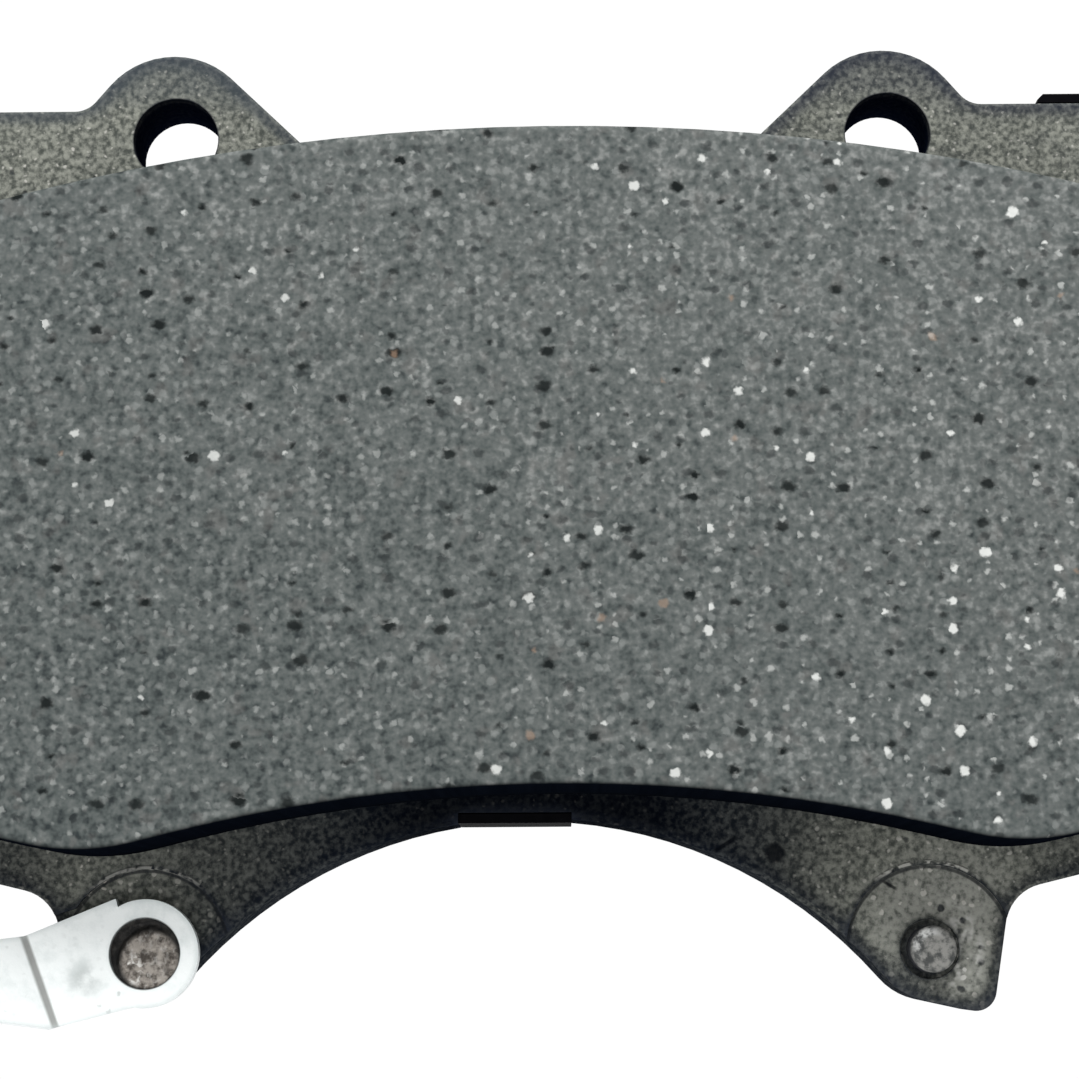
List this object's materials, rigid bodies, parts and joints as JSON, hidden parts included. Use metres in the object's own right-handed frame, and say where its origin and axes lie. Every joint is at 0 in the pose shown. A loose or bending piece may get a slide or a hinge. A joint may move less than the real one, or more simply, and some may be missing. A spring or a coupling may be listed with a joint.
{
  "type": "disc brake pad",
  "caption": "Disc brake pad for a fixed caliper: steel backing plate with pin ears and lugs, moulded friction block, riveted wear indicator and clip-on shim.",
  "frame": {"origin": "on the piston face of the shim, on the pad's centreline, half way up the lining at the centre", "axes": "+Z radially outward from the hub, +X across the pad, +Y towards the piston; the friction face looks along -Y"},
  "size_m": [0.1228, 0.0175, 0.0771],
  "materials": {
    "plate": "blasted and coated, satin",
    "underlayer": "moulded, matte",
    "friction": "ground moulded composite, matte and speckled",
    "zinc": "zinc plated, bright",
    "bare_steel": "hammered, bare",
    "shim_steel": "black coated",
    "shim_rubber": "thin bonded coat, matte"
  },
  "bodies": {
    "pad": {"backing_plate": "plate", "underlayer": "underlayer", "friction_block": "friction", "wear_indicator": "zinc", "indicator_rivet": "bare_steel", "spare_stud": "plate"},
    "shim": {"shim_core": "shim_steel", "shim_rubber_inner": "shim_rubber", "shim_rubber_outer": "shim_rubber"}
  },
  "joints": [
    {"name": "shim_pull_off", "type": "slide", "parent": "pad", "child": "shim", "axis": [0, 1, 0], "range_m": [0, 0.012]}
  ]
}
